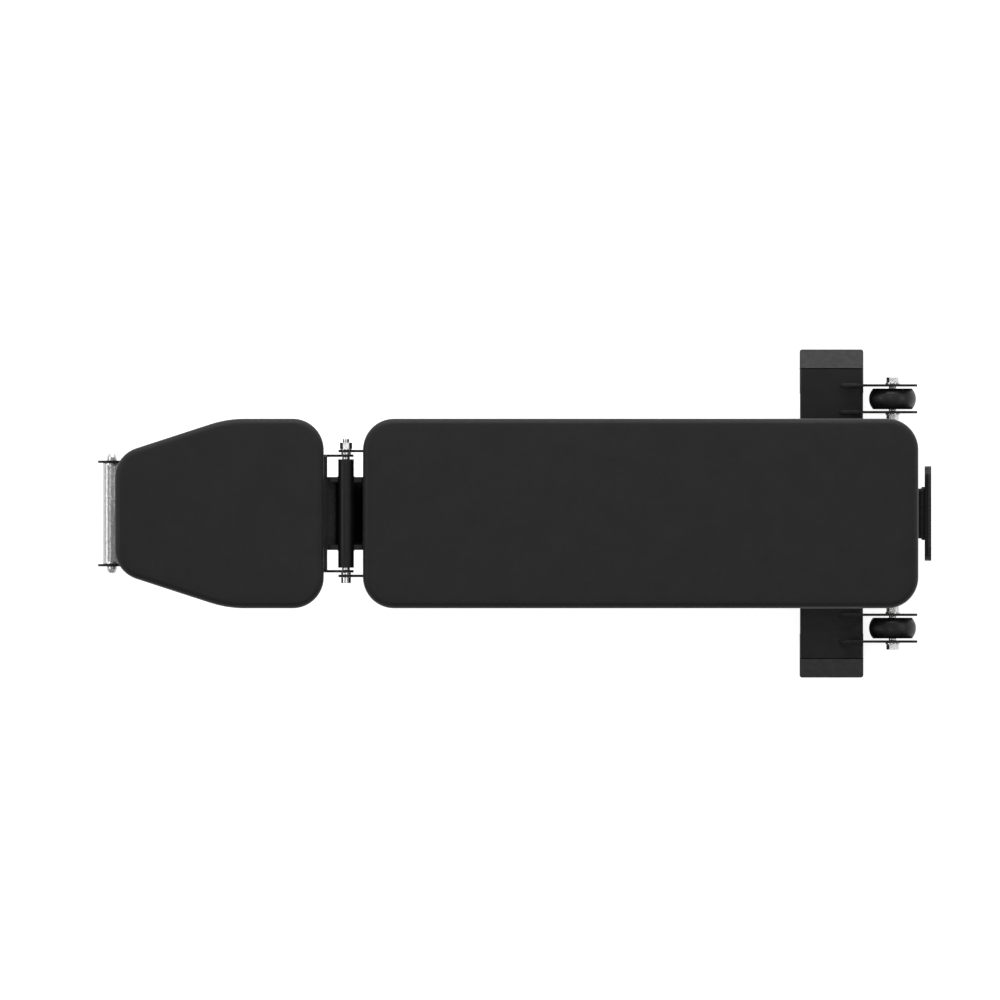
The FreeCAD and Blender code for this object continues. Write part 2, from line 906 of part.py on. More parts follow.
node("axle_bolts", group(*both_sides(axle_bolt)))
node("axle_nuts", group(*both_sides(axle_nut)))
node("axle_sleeves", group(*both_sides(axle_sleeve)))

tread_depth = given("tread_depth", 11)
tyre_shoulder = given("tyre_shoulder", 31.4)
bearing_radius = given("bearing_radius", 13)
bearing_width = given("bearing_width", 8)
core_lip = given("core_lip", 3)
core_draft = given("core_draft", 1)
core_recess = given("core_recess", 5)
crown_power = 2.2
CROWN_STEPS = 4


def tyre_profile():
    """The crowned tread, from one side face to the other."""
    half = wheel_width / 2
    inner = wheel_radius - tread_depth
    crown = []
    for step in range(-CROWN_STEPS, CROWN_STEPS + 1):
        share = step / CROWN_STEPS
        drop = (wheel_radius - tyre_shoulder) * (abs(share) ** crown_power)
        crown.append((wheel_radius - drop, half * share))
    return [(inner, -half), *crown, (inner, half)]


def wheel(name, side):
    spot = (axle_x, side * wheel_middle, axle_z)
    half = wheel_width / 2
    inner = wheel_radius - tread_depth
    node(f"{name}_wheel_tyre", turned(tyre_profile(), *spot))
    hub = bearing_radius + core_lip
    rim = inner - core_lip
    half_profile = [
        (bearing_radius, half),
        (hub, half),
        (hub + core_draft, half - core_recess),
        (rim - core_draft, half - core_recess),
        (rim, half - core_draft),
        (inner, half - core_draft),
    ]
    core = half_profile[::-1] + [(radius, -along) for radius, along in half_profile]
    node(f"{name}_wheel_core", turned(core, *spot))
    bore = axle_sleeve_radius + running

    def bearing(end):
        low, high = ends(end, half - bearing_width, half)
        return turned(rectangle(bore, bearing_radius, low, high), *spot)

    node(f"{name}_wheel_bearings", group(*both_sides(bearing)))


wheel("right", 1)
wheel("left", -1)

# ---------------------------------------------------------------------------------------
# Pads: a vinyl cover over foam on a board. The same outline, set in, gives all three.


def seat_outline(inset):
    slope = sin(seat_taper) / cos(seat_taper)
    half = pad_half - inset
    nose_x = seat_front + inset
    nose_y = seat_nose_half + inset * slope - inset / cos(seat_taper)
    shoulder_x = nose_x + (half - nose_y) / slope
    rear_x = seat_rear - inset
    corners = [(nose_x, -nose_y), (shoulder_x, -half), (rear_x, -half)]
    corners += [(x, -y) for x, y in reversed(corners)]
    radii = [pad_corner - inset, seat_blend - inset, pad_corner - inset]
    return corners, list(enumerate(radii + radii[::-1]))


def back_outline(inset):
    half = pad_half - inset
    corners = rectangle(back_front + inset, back_rear - inset, -half, half)
    return corners, [(n, pad_corner - inset) for n in range(4)]


def pad_blank(outline, inset, bottom, top, rim=None):
    corners, rounds = outline(as_dim(inset))
    body = floor_plate(corners, bottom, as_dim(top) - bottom, rounds)
    if rim is not None:
        round_rim(body, top, rim)
    return body


board_top = derived("board_top", pad_bottom + board_thickness)
tee_flange = given("tee_flange", 1.5)
tee_flange_radius = given("tee_flange_radius", 10)
tee_radius = given("tee_radius", 5.5)
pad_bolt_radius = given("pad_bolt_radius", 4)
pad_bolt_head = given("pad_bolt_head", 5.5)
pad_bolt_across = given("pad_bolt_across", 13)
pad_washer = given("pad_washer", 1.6)
pad_washer_radius = given("pad_washer_radius", 9)


def tee_nut(x, y):
    low = pad_bottom
    profile = [
        (pad_bolt_radius, 0),
        (tee_radius, 0),
        (tee_radius, board_thickness - tee_flange),
        (tee_flange_radius, board_thickness - tee_flange),
        (tee_flange_radius, board_thickness),
        (pad_bolt_radius, board_thickness),
    ]
    return turned(profile, x, y, low, upright=True)


def pad_bolt(x, y):
    """A hexagon-headed bolt and its washer, up through the channel into a tee nut."""
    under = channel_inside - pad_washer
    return fuse(
        stud(pad_bolt_radius, (under - 1, board_top - 1), x, y),
        stud(pad_washer_radius, (under, channel_inside), x, y),
        hexagon(pad_bolt_across, -pad_bolt_head, pad_bolt_head, x, y, under),
    )


def upholstery(name, outline, spots):
    """The cover, foam, board, tee nuts and bolts of one pad."""
    wall = cover_wall + cover_gap
    outer = pad_blank(outline, 0, pad_bottom, pad_top, pad_rim)
    inner = pad_blank(
        outline,
        cover_wall,
        pad_bottom - 1,
        pad_top - cover_wall,
        pad_rim - cover_wall,
    )
    node(f"{name}_cover", cut(outer, inner))
    foam = pad_blank(outline, wall, board_top, pad_top - wall, pad_rim - wall)
    node(f"{name}_foam", foam)
    board = pad_blank(outline, wall, pad_bottom, board_top)
    holes = []
    for x, y in spots:
        holes.append(stud(tee_radius, (pad_bottom - 1, board_top), x, y))
        recess = (board_top - tee_flange, board_top + 1)
        holes.append(stud(tee_flange_radius, recess, x, y))
    node(f"{name}_board", cut(board, *holes))
    node(f"{name}_tee_nuts", group(*[tee_nut(x, y) for x, y in spots]))
    node(f"{name}_pad_bolts", group(*[pad_bolt(x, y) for x, y in spots]))


seat_bolt_near = given("seat_bolt_near", -345)
seat_bolt_far = given("seat_bolt_far", -555)
back_bolt_near = given("back_bolt_near", -180)
back_bolt_far = given("back_bolt_far", 500)
pad_bolt_side = given("pad_bolt_side", 76)

seat_spots = [(x, y) for x in (seat_bolt_near, seat_bolt_far)
              for y in (pad_bolt_side, -pad_bolt_side)]
back_spots = [(x, y) for x in (back_bolt_near, (back_bolt_near + back_bolt_far) / 2,
                               back_bolt_far)
              for y in (pad_bolt_side, -pad_bolt_side)]
upholstery("seat", seat_outline, seat_spots)
upholstery("back", back_outline, back_spots)

# ---------------------------------------------------------------------------------------
# Carriers: bent channels under the pads, with ears that reach to the pivot.


ear_neck = given("ear_neck", 8)
ear_lap = given("ear_lap", 30)
ear_heel = given("ear_heel", 14)
ear_drop = given("ear_drop", 8)


def carrier(name, way, middle, near, far, spots, rod_spot, rod_radius):
    """way is +1 where the channel runs towards +X from the pivot, -1 towards -X."""
    half = middle + sheet_wall / 2
    low_x, high_x = (near, far) if way > 0 else (far, near)
    inner = half - sheet_wall
    profile = [
        (-half, channel_low),
        (-half, pad_bottom),
        (half, pad_bottom),
        (half, channel_low),
        (inner, channel_low),
        (inner, channel_inside),
        (-inner, channel_inside),
        (-inner, channel_low),
    ]
    bends = [(1, channel_bend), (2, channel_bend)]
    channel = cross_plate(profile, low_x, high_x - low_x, bends)
    ear = [
        (near + way * ear_lap, channel_inside - sheet_wall),
        (near + way * ear_lap, channel_low),
        (pivot_x + way * ear_heel, channel_low),
        (pivot_x - way * ear_radius, pivot_z - ear_drop),
        (pivot_x - way * ear_radius, pivot_z),
        (pivot_x + way * ear_radius, pivot_z),
        (near - way * ear_neck, channel_inside),
    ]

    def ear_plate(side):
        plate = side_plate(ear, sheet_wall, side * middle)
        span = ends(side, inner, half)
        return fuse(plate, rod(ear_radius, span, pivot_x, pivot_z))

    whole = (-half - 1, half + 1)
    holes = [
        rod(pivot_bolt_radius + running, whole, pivot_x, pivot_z),
        rod(rod_radius, whole, *rod_spot),
    ]
    holes += [stud(pad_bolt_radius, (channel_low, pad_bottom + 1), x, y) for x, y in spots]
    return node(name, cut(fuse(channel, *both_sides(ear_plate)), *holes))


seat_channel_rear = given("seat_channel_rear", -301.6)
seat_channel_front = given("seat_channel_front", -590)
back_channel_front = given("back_channel_front", -238)
back_channel_rear = given("back_channel_rear", 540)

rod_level = derived("rod_level", pivot_z - strut_drop)
strut_x = derived("strut_x", pivot_x + strut_arm)
prop_x = derived("prop_x", pivot_x - prop_arm)

carrier(
    "seat_carrier", -1, seat_ear, seat_channel_rear, seat_channel_front,
    seat_spots, (prop_x, rod_level), prop_pin_radius,
)
carrier(
    "back_carrier", 1, back_ear, back_channel_front, back_channel_rear,
    back_spots, (strut_x, rod_level), strut_pin_radius,
)

collar_radius = given("collar_radius", 12)
collar_width = given("collar_width", 5)


def cross_rod(name, radius, half, x, z):
    """A rod through both flanges of a channel, with a retaining collar at each end."""
    pieces = [rod(radius, (-half - collar_width, half + collar_width), x, z)]
    for side in (1, -1):
        pieces.append(rod(collar_radius, ends(side, half, half + collar_width), x, z))
    return node(name, fuse(*pieces))


cross_rod("prop_pivot_rod", prop_pin_radius, seat_ear + sheet_wall / 2, prop_x, rod_level)
cross_rod("strut_pivot_rod", strut_pin_radius, back_ear_out, strut_x, rod_level)


# ---------------------------------------------------------------------------------------
# Struts: two flat bars joined by a pin that drops into the teeth of a ladder.


def bar(start, finish, half_width, thickness, middle, holes):
    """A flat bar with round ends between two points seen from the side."""
    run_x, run_z = finish[0] - start[0], finish[1] - start[1]
    length = root(run_x * run_x + run_z * run_z)
    off_x, off_z = run_z * half_width / length, run_x * half_width / length
    outline = [
        (start[0] + off_x, start[1] - off_z),
        (finish[0] + off_x, finish[1] - off_z),
        (finish[0] - off_x, finish[1] + off_z),
        (start[0] - off_x, start[1] + off_z),
    ]
    span = (middle - thickness / 2, middle + thickness / 2)
    pieces = [side_plate(outline, thickness, middle)]
    pieces += [rod(half_width, span, *spot) for spot in (start, finish)]
    tools = [rod(radius, span, *spot) for spot, radius in zip((start, finish), holes)]
    return cut(fuse(*pieces), *tools)


def strut(name, top, pin, half_width, thickness, middle, radius, brace_share):
    holes = (radius + running, radius)

    def side_bar(side):
        return bar(top, pin, half_width, thickness, side * middle, holes)

    node(f"{name}_bars", group(*both_sides(side_bar)))
    edge = middle + thickness / 2 + collar_width
    node(f"{name}_pin", rod(radius, (-edge, edge), *pin))
    inner = middle - thickness / 2
    spot = [a + (b - a) * brace_share for a, b in zip(top, pin)]
    tube = hollow_rod(radius + 1, radius - 2, (-inner, inner), *spot)
    node(f"{name}_brace", tube)


strut_reach = root(
    strut_length * strut_length
    - (strut_pin_drop - strut_drop) * (strut_pin_drop - strut_drop)
)
strut_pin_x = derived("strut_pin_x", strut_x + strut_reach)
strut_pin_z = derived("strut_pin_z", pivot_z - strut_pin_drop)
strut_half_width = given("strut_half_width", 12.5)
strut_wall = given("strut_wall", 6)
strut(
    "strut", (strut_x, rod_level), (strut_pin_x, strut_pin_z),
    strut_half_width, strut_wall, strut_middle, strut_pin_radius, 0.3,
)

# The back's ladder slopes down to the rear by ladder_angle. In axes turned with it about
# the pivot, u runs along the ladder and v stands off it, so that every seat of the pin is
# where a circle about the strut's top crosses the line v = pin_line.
pin_run = derived("pin_run", strut_pin_x - pivot_x)
pin_line = derived(
    "pin_line", pin_run * sin(ladder_angle) - strut_pin_drop * cos(ladder_angle)
)


def back_seat(angle):
    """How far along the ladder the strut's pin sits when the back is at an angle."""
    turn = ladder_angle + angle
    top_u = strut_arm * cos(turn) + strut_drop * sin(turn)
    top_v = strut_arm * sin(turn) - strut_drop * cos(turn)
    rise = top_v - pin_line
    return top_u + root(strut_length * strut_length - rise * rise)


tooth_gap = given("tooth_gap", 0.3)
tooth_land = given("tooth_land", 4)
tooth_relief = given("tooth_relief", 2)


def toothed_edge(seats, line, radius, tooth, steep):
    """The notched edge in (u, v), from the first seat to the last.

    Each seat has a steep face on its loaded side, towards steep (+1 or -1) in u, and a
    ramp on the other side that the pin climbs to reach the next seat.
    """
    floor = line - radius - tooth_gap
    points = []
    for number, seat in enumerate(seats):
        wall = seat + steep * (radius + tooth_gap)
        if number > 0:
            points.append((wall + steep * tooth_land, floor + tooth))
        points.append((wall, floor + tooth))
        points.append((wall, floor))
        points.append((seat - steep * (radius + tooth_relief), floor))
    return points


def from_ladder(point, slope):
    """From ladder axes to X and Z; slope is the ladder's fall in degrees."""
    u, v = point
    return (
        pivot_x + u * cos(slope) + v * sin(slope),
        pivot_z - u * sin(slope) + v * cos(slope),
    )


ladder_low = given("ladder_low", 68)
ladder_ends = given("ladder_ends", 24)
seats = [
    derived(f"back_seat_{word}", back_seat(angle))
    for word, angle in zip(("flat", "low", "middle", "steep", "high", "upright"), BACK_STEPS)
]
teeth = toothed_edge(seats, pin_line, strut_pin_radius, ladder_tooth, 1)
rear_lip = seats[0] + strut_pin_radius + ladder_ends
front_lip = seats[-1] - ladder_ends
ladder_profile = [
    from_ladder((rear_lip, teeth[0][1]), ladder_angle),
    *[from_ladder(point, ladder_angle) for point in teeth],
    from_ladder((front_lip, teeth[-1][1]), ladder_angle),
]
ladder_profile += [(ladder_profile[-1][0], ladder_low), (ladder_profile[0][0], ladder_low)]
for word, side in (("right", 1), ("left", -1)):
    middle = side * (spine_half + ladder_wall / 2)
    node(f"{word}_back_ladder", side_plate(ladder_profile, ladder_wall, middle))

# The seat's ladder stands on the front of the post, along the post's slant: it has one
# seat for the level position and one for the raised position.
post_line = derived(
    "post_line",
    (pivot_x - post_top_x) * sin(post_angle) - (pivot_z - post_top_z) * cos(post_angle),
)
prop_line = derived("prop_line", post_line + tube_height / 2 + prop_stand_off)


def prop_seat(angle):
    """How far up the post's slant the prop's pin sits when the seat is at an angle."""
    turn = post_angle + angle
    top_u = -prop_arm * cos(turn) - strut_drop * sin(turn)
    top_v = prop_arm * sin(turn) - strut_drop * cos(turn)
    rise = top_v - prop_line
    return top_u - root(prop_length * prop_length - rise * rise)


prop_seats = [
    derived("prop_seat_level", prop_seat(0)),
    derived("prop_seat_raised", prop_seat(seat_lift)),
]
prop_lap = given("prop_lap", 8)
prop_ends = given("prop_ends", 12)
prop_teeth = toothed_edge(prop_seats, prop_line, prop_pin_radius, prop_tooth, -1)
prop_back = post_line + prop_lap
prop_low = prop_seats[0] - prop_pin_radius - prop_ends
prop_high = prop_seats[1] + prop_pin_radius + prop_ends
prop_profile = [
    (prop_low, prop_back),
    (prop_low, prop_teeth[0][1]),
    *prop_teeth,
    (prop_high, prop_teeth[-1][1]),
    (prop_high, prop_back),
]
prop_outline = [from_ladder(point, -post_angle) for point in prop_profile]
prop_pin = from_ladder((prop_seats[0], prop_line), -post_angle)


def seat_ladder(side):
    """One notched plate, cut back where the cheek already covers the post."""
    plate = side_plate(prop_outline, ladder_wall, side * (tube_width + ladder_wall) / 2)
    return cut(plate, cheek(side))


node("seat_ladders", group(*both_sides(seat_ladder)))

prop_half_width = given("prop_half_width", 10)
prop_wall = given("prop_wall", 5)
strut(
    "prop", (prop_x, rod_level), prop_pin,
    prop_half_width, prop_wall, prop_middle, prop_pin_radius, 0.45,
)

# ---------------------------------------------------------------------------------------
# Every object is tested before anything is written.

doc.recompute()
for thing in doc.Objects:
    if "Invalid" in thing.State or "Error" in thing.State:
        raise RuntimeError(f"{thing.Name} ({thing.Label}) failed: {thing.State}")
for thing in nodes:
    shape = thing.Shape
    if shape.isNull() or not shape.isValid() or not shape.Solids:
        raise RuntimeError(f"{thing.Label} has no valid solid")
    thing.Shape.exportStep(f"parts/{thing.Label}.step")
    print(f"{thing.Label}: {len(shape.Solids)} solids, {shape.Volume / 1000:.1f} cm3")
print(f"{len(nodes)} nodes")
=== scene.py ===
import itertools
import json
import math

import bmesh
import bpy
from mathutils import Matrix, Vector, noise
from mathutils.geometry import convex_hull_2d


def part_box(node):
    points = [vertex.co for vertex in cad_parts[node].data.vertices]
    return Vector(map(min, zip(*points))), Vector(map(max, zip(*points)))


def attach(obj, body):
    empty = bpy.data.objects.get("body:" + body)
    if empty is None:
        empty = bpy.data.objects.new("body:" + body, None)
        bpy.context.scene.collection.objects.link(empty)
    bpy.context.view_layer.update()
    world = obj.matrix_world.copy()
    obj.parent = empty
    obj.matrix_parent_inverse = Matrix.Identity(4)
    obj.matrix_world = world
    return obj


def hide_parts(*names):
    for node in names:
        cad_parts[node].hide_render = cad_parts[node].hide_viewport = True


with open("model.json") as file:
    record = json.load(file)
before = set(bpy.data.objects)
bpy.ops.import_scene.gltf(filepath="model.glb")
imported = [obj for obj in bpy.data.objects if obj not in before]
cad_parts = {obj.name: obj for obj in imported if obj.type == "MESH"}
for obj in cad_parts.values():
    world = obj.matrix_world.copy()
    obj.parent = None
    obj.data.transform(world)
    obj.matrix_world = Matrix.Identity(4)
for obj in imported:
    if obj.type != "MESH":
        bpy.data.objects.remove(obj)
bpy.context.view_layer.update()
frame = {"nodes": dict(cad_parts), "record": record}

# The looks of the adjustable weight bench: materials for every CAD node, and the pieces
# that CAD leaves plain: the sewn pads, the staples, the handle's knurl, the weld beads
# with their painted highlight, the caps' seams as lines of painted shade and the pivot
# bolt's thread. All sizes are in metres, in the frame's axes.

scene = bpy.context.scene
record = frame["record"]
MM = 0.001

# Noise textures seldom leave this part of their range.
NOISE_LOW = 0.3
NOISE_HIGH = 0.7
# Greys are very slightly blue, as black paint and vinyl are.
BLUE_SHARE = 1.02
# Points that are closer than this are one point.
WELD_DISTANCE = 1e-6


# ---------------------------------------------------------------------------------------
# Materials


class Look:
    """A node material on one Principled shader, with short helpers for its textures."""

    def __init__(self, name, color, roughness, metallic=0.0, specular=0.5):
        self.material = bpy.data.materials.new(name)
        self.material.use_nodes = True
        self.tree = self.material.node_tree
        self.shader = self.tree.nodes["Principled BSDF"]
        self.shader.inputs["Base Color"].default_value = (*color, 1)
        self.shader.inputs["Roughness"].default_value = roughness
        self.shader.inputs["Metallic"].default_value = metallic
        self.shader.inputs["Specular IOR Level"].default_value = specular
        place = self.node("ShaderNodeTexCoord")
        self.place = place.outputs["Object"]
        self.normal = None

    def node(self, kind, **settings):
        made = self.tree.nodes.new(kind)
        for key, value in settings.items():
            setattr(made, key, value)
        return made

    def join(self, source, target):
        self.tree.links.new(source, target)

    def noise(self, scale, detail=2.0, stretch=None):
        texture = self.node("ShaderNodeTexNoise")
        texture.inputs["Scale"].default_value = scale
        texture.inputs["Detail"].default_value = detail
        place = self.place
        if stretch:
            mapping = self.node("ShaderNodeMapping")
            mapping.inputs["Scale"].default_value = stretch
            self.join(place, mapping.inputs["Vector"])
            place = mapping.outputs["Vector"]
        self.join(place, texture.inputs["Vector"])
        return texture.outputs["Fac"]

    def cells(self, scale, feature="SMOOTH_F1"):
        texture = self.node("ShaderNodeTexVoronoi", feature=feature)
        texture.inputs["Scale"].default_value = scale
        self.join(self.place, texture.inputs["Vector"])
        return texture.outputs["Distance"]

    def between(self, factor, low, high):
        """Maps the middle of a texture's range onto low to high."""
        spread = self.node("ShaderNodeMapRange")
        spread.inputs["From Min"].default_value = NOISE_LOW
        spread.inputs["From Max"].default_value = NOISE_HIGH
        spread.inputs["To Min"].default_value = low
        spread.inputs["To Max"].default_value = high
        self.join(factor, spread.inputs["Value"])
        return spread.outputs["Result"]

    def vary_color(self, factor, dark, light):
        """Varies the base colour from dark to light with a texture."""
        ramp = self.node("ShaderNodeValToRGB")
        start, end = ramp.color_ramp.elements
        start.position = NOISE_LOW
        start.color = (*dark, 1)
        end.position = NOISE_HIGH
        end.color = (*light, 1)
        self.join(factor, ramp.inputs["Fac"])
        self.join(ramp.outputs["Color"], self.shader.inputs["Base Color"])

    def vary_roughness(self, factor, low, high):
        self.join(self.between(factor, low, high), self.shader.inputs["Roughness"])

    def soften_edges(self, radius):
        """Catches light on the edges as a small real radius does."""
        bevel = self.node("ShaderNodeBevel", samples=4)
        bevel.inputs["Radius"].default_value = radius
        self.normal = bevel.outputs["Normal"]
        self.join(self.normal, self.shader.inputs["Normal"])

    def bump(self, height, depth, strength=1.0):
        bump = self.node("ShaderNodeBump")
        bump.inputs["Distance"].default_value = depth
        bump.inputs["Strength"].default_value = strength
        self.join(height, bump.inputs["Height"])
        if self.normal:
            self.join(self.normal, bump.inputs["Normal"])
        self.normal = bump.outputs["Normal"]
        self.join(self.normal, self.shader.inputs["Normal"])


def grey(value):
    return (value, value, value * BLUE_SHARE)


def powder_coat():
    look = Look("powder_coat", grey(0.0045), 0.42, specular=0.20)
    look.soften_edges(0.9 * MM)
    look.vary_color(look.noise(14, 3), grey(0.0035), grey(0.0060))
    look.vary_roughness(look.noise(90, 4), 0.36, 0.50)
    look.bump(look.noise(1100, 1), 0.10 * MM, 0.5)
    return look.material


def weld_coat_painted_highlight():
    """Powder coat over weld ripples, glossier than on the flat tubes, with a base colour about
    twice as light: a painted highlight for the light the beads' curves catch.
    """
    look = Look("weld_coat_painted_highlight", grey(0.010), 0.34, specular=0.40)
    look.vary_color(look.noise(90, 3), grey(0.008), grey(0.013))
    look.vary_roughness(look.noise(300, 3), 0.28, 0.42)
    look.bump(look.noise(900, 2), 0.12 * MM, 0.5)
    return look.material


def vinyl():
    look = Look("vinyl", grey(0.0090), 0.52, specular=0.18)
    look.vary_color(look.noise(22, 4), grey(0.0080), grey(0.0097))
    look.vary_roughness(look.noise(60, 3), 0.51, 0.55)
    look.bump(look.cells(620), 0.22 * MM, 0.55)
    look.bump(look.noise(210, 3), 0.25 * MM, 0.22)
    look.shader.inputs["Sheen Weight"].default_value = 0.04
    look.shader.inputs["Sheen Roughness"].default_value = 0.45
    return look.material


def rubber():
    look = Look("foot_rubber", grey(0.016), 0.68, specular=0.35)
    look.soften_edges(1.2 * MM)
    look.vary_color(look.noise(40, 4), grey(0.014), grey(0.020))
    look.vary_roughness(look.noise(120, 3), 0.60, 0.78)
    look.bump(look.noise(700, 2), 0.16 * MM, 0.5)
    return look.material


def tread():
    look = Look("wheel_tread", grey(0.005), 0.38, specular=0.3)
    look.vary_color(look.noise(55, 4), grey(0.0035), grey(0.007))
    look.vary_roughness(look.noise(75, 5), 0.34, 0.50)
    look.bump(look.noise(480, 2), 0.08 * MM, 0.4)
    return look.material


def nylon():
    look = Look("black_plastic", grey(0.012), 0.5, specular=0.45)
    look.soften_edges(0.6 * MM)
    look.vary_roughness(look.noise(160, 3), 0.42, 0.58)
    look.bump(look.noise(900, 1), 0.06 * MM, 0.4)
    return look.material


def zinc():
    look = Look("zinc", grey(0.5), 0.26, metallic=1.0)
    look.soften_edges(0.5 * MM)
    look.vary_color(look.noise(130, 3), (0.42, 0.42, 0.43), (0.58, 0.58, 0.57))
    look.vary_roughness(look.noise(260, 4), 0.20, 0.34)
    look.bump(look.noise(1500, 2), 0.03 * MM, 0.3)
    return look.material


def knurled_chrome():
    look = Look("knurled_steel", grey(0.46), 0.22, metallic=1.0)
    look.vary_color(look.noise(180, 3), (0.40, 0.40, 0.41), (0.52, 0.52, 0.51))
    look.vary_roughness(look.noise(320, 3), 0.17, 0.28)
    return look.material


def bronze():
    look = Look("bronze", (0.42, 0.25, 0.10), 0.38, metallic=1.0)
    look.vary_roughness(look.noise(300, 4), 0.3, 0.5)
    look.bump(look.noise(1800, 2), 0.04 * MM, 0.5)
    return look.material


def plywood():
    look = Look("plywood", (0.36, 0.24, 0.13), 0.62, specular=0.3)
    grain = look.noise(30, 8, stretch=(0.6, 9.0, 9.0))
    look.vary_color(grain, (0.23, 0.14, 0.07), (0.48, 0.34, 0.20))
    look.vary_roughness(look.noise(80, 3), 0.55, 0.72)
    look.bump(grain, 0.25 * MM, 0.4)
    return look.material


def open_foam():
    look = Look("foam", (0.50, 0.46, 0.34), 0.9, specular=0.1)
    look.vary_color(look.noise(35, 4), (0.44, 0.40, 0.29), (0.56, 0.52, 0.40))
    look.bump(look.cells(420), 0.6 * MM, 0.9)
    return look.material


looks = {
    "frame_paint": powder_coat(),
    "vinyl": vinyl(),
    "foam": open_foam(),
    "plywood": plywood(),
    "foot_rubber": rubber(),
    "wheel_tread": tread(),
    "black_plastic": nylon(),
    "zinc": zinc(),
    "knurled_steel": knurled_chrome(),
    "bronze": bronze(),
}

for part in record["subparts"]:
    for material_slot in frame["nodes"][part["node"]].material_slots:
        material_slot.material = looks[part["material_slot"]]


# ---------------------------------------------------------------------------------------
# Mesh helpers


def add_piece(name, body, slot, vertices, faces, smooth=True, finish=None):
    """A new mesh piece that rides on a body; its slot's finish is used unless one is given."""
    mesh = bpy.data.meshes.new(name)
    mesh.from_pydata([tuple(v) for v in vertices], [], faces)
    work = bmesh.new()
    work.from_mesh(mesh)
    bmesh.ops.remove_doubles(work, verts=work.verts, dist=WELD_DISTANCE)
    bmesh.ops.recalc_face_normals(work, faces=work.faces)
    work.to_mesh(mesh)
    work.free()
    for polygon in mesh.polygons:
        polygon.use_smooth = smooth
    mesh.materials.append(finish or looks[slot])
    piece = bpy.data.objects.new(name, mesh)
    scene.collection.objects.link(piece)
    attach(piece, body)
    return piece


def ring_faces(rings, count, closed=True):
    """Quads between rings of count points each; closed joins a ring's end to its start."""
    faces = []
    for ring in range(rings - 1):
        for i in range(count if closed else count - 1):
            a, b = ring * count + i, ring * count + (i + 1) % count
            faces.append((a, b, b + count, a + count))
    return faces


def merge(parts):
    """Joins several (vertices, faces) pairs into one."""
    vertices, faces = [], []
    for more_vertices, more_faces in parts:
        start = len(vertices)
        vertices += more_vertices
        faces += [tuple(start + i for i in face) for face in more_faces]
    return vertices, faces


# ---------------------------------------------------------------------------------------
# Pads

# The outline's points lie this far apart, and come from the CAD points in a band at the
# underside. A slope and a turn are measured over this many points to each side.
OUTLINE_STEP = 2.5 * MM
FLAT_BAND = 0.5 * MM
SLOPE_REACH = 3
TURN_REACH = 8

# The vinyl: its rounded rim, crown and tucks, and the fold under the board.
RIM = 11 * MM
CROWN = 2.2 * MM
FOOT = 2.5 * MM
DROP = 0.5 * MM
WAIST = 0.9 * MM
FOLD = 27 * MM
FOLD_EDGE = 0.4 * MM
FOLD_SAG = 0.6 * MM
FOLD_INSIDE = 4 * MM
PLEAT_PITCH = 7 * MM
PLEAT_DEPTH = 0.9 * MM

# The top's rings, from the rim to the pad's middle line, and its slight ripples.
TOP_RINGS = 10
SPINE_INSET = 0.85
MIDDLE_SHARE = 0.995
RIPPLE_SCALE = 11
RIPPLE_HEIGHT = 0.35 * MM

# The foam block, a little smaller than its CAD solid.
FOAM_RIM = 8 * MM
FOAM_CROWN = 1.2 * MM
FOAM_GAP = 0.6 * MM

# Staples: one for this many points of the outline, and their sizes and place.
STAPLE_EVERY = 12
STAPLE_INSET = 19 * MM
STAPLE_HALF = Vector((5 * MM, 0.6 * MM))
STAPLE_TOP = 0.3 * MM
STAPLE_HEIGHT = 0.9 * MM


def pad_outline(node):
    """The outline of a CAD pad's underside, evenly spaced, from its rear middle."""
    low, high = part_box(node)
    near_floor = low.z + FLAT_BAND
    flat = [v.co.xy for v in frame["nodes"][node].data.vertices if v.co.z < near_floor]
    hull = [flat[i] for i in convex_hull_2d(flat)]
    start = Vector((high.x, 0))
    hull = sorted(hull, key=lambda p: math.atan2(p.y, p.x - (low.x + high.x) / 2))
    first = next(i for i, p in enumerate(hull) if p.y > 0)
    hull = [start] + hull[first:] + hull[:first] + [start]
    lengths = [0.0]
    for a, b in zip(hull, hull[1:]):
        lengths.append(lengths[-1] + (b - a).length)
    count = 2 * round(lengths[-1] / OUTLINE_STEP / 2)
    points, leg = [], 0
    for i in range(count):
        along = lengths[-1] * i / count
        while lengths[leg + 1] < along:
            leg += 1
        share = (along - lengths[leg]) / (lengths[leg + 1] - lengths[leg])
        points.append(hull[leg].lerp(hull[leg + 1], share))
    return points


def outline_facts(points):
    """Each point's outward normal, and how strongly the outline turns there (0 to 1)."""
    count = len(points)
    normals, turns = [], []
    for i in range(count):
        ahead = points[(i + SLOPE_REACH) % count] - points[i]
        behind = points[i] - points[i - SLOPE_REACH]
        way = (ahead.normalized() + behind.normalized()).normalized()
        normals.append(Vector((way.y, -way.x)))
        turns.append(abs(behind.angle_signed(ahead, 0.0)))
    most = max(turns)
    window = range(-TURN_REACH, TURN_REACH + 1)
    smooth = [
        sum(turns[(i + k) % count] for k in window) / len(window) / most for i in range(count)
    ]
    return normals, smooth


def arc(centre, radius, start, end, steps):
    """Points of a round stretch in a plane, with the angles in degrees."""
    for step in range(steps + 1):
        angle = math.radians(start + (end - start) * step / steps)
        yield (centre[0] + radius * math.cos(angle), centre[1] + radius * math.sin(angle))


